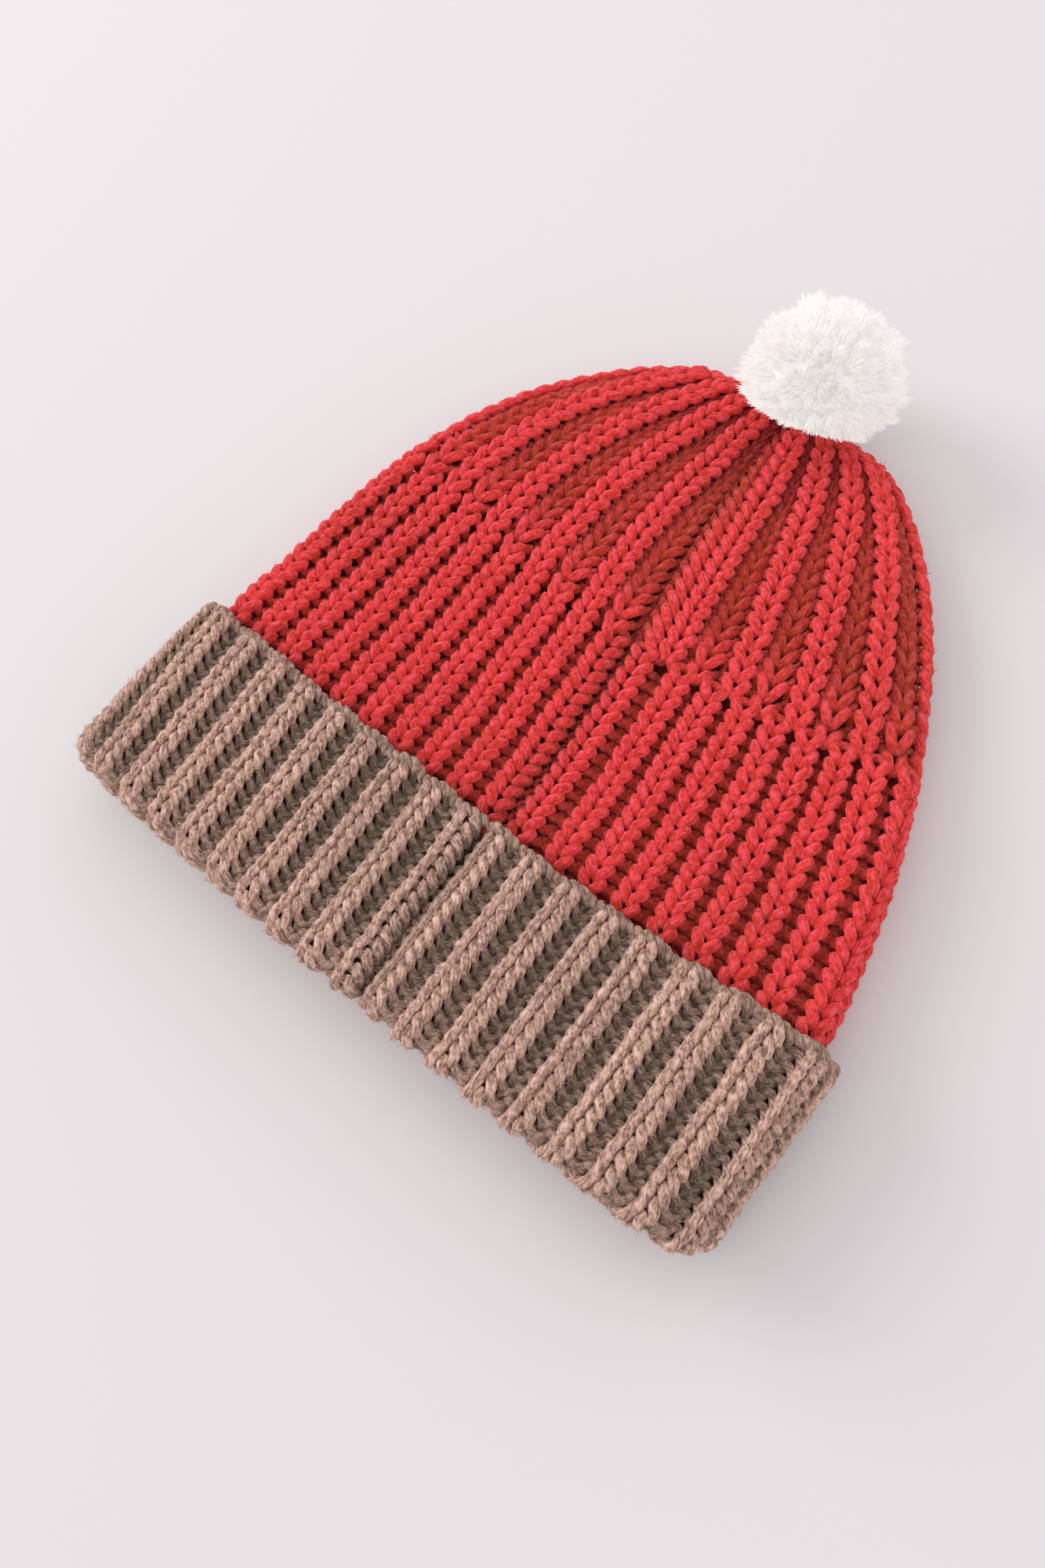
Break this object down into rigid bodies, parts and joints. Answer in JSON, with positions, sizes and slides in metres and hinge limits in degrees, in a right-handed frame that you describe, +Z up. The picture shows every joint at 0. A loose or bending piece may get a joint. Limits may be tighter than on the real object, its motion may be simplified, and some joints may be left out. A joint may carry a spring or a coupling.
{
  "type": "pom pom beanie",
  "caption": "Ribbed knitted beanie lying flat, with a turned-up cuff, a seam up the back, a gathered crown and a yarn pom tied on at the tip.",
  "frame": {"origin": "under the middle of the hat's box, on the surface that it lies on", "axes": "+Z up from the surface, +Y along the hat from the mouth to the pom, +X across the cuff"},
  "size_m": [0.221, 0.2536, 0.0445],
  "materials": {
    "taupe_yarn": "matt, slightly fuzzy plied yarn",
    "red_yarn": "matt, slightly fuzzy plied yarn",
    "cream_yarn": "soft cut yarn"
  },
  "bodies": {
    "hat": {"turned_up_cuff": "taupe_yarn", "cast_on_edge": "taupe_yarn", "brim_inner_layer": "taupe_yarn", "brim_seam_yarn": "taupe_yarn", "crown_ribbed_section": "red_yarn", "crown_shaped_section": "red_yarn", "crown_seam_yarn": "red_yarn", "gather_yarn": "red_yarn", "tie_shank": "cream_yarn", "anchor_knot": "cream_yarn"},
    "pom_neck": {"tie_neck": "cream_yarn"},
    "pom": {"pom_core_tie": "cream_yarn", "pom_yarn": "cream_yarn"}
  },
  "joints": [
    {"name": "pom_swing", "type": "hinge", "parent": "hat", "child": "pom_neck", "pos_m": [-0.0125, 0.09425, 0.008], "axis": [0, 0, 1], "range_deg": [-30, 30]},
    {"name": "pom_lift", "type": "hinge", "parent": "pom_neck", "child": "pom", "pos_m": [-0.0125, 0.09425, 0.008], "axis": [1, 0, 0], "range_deg": [0, 30]}
  ]
}
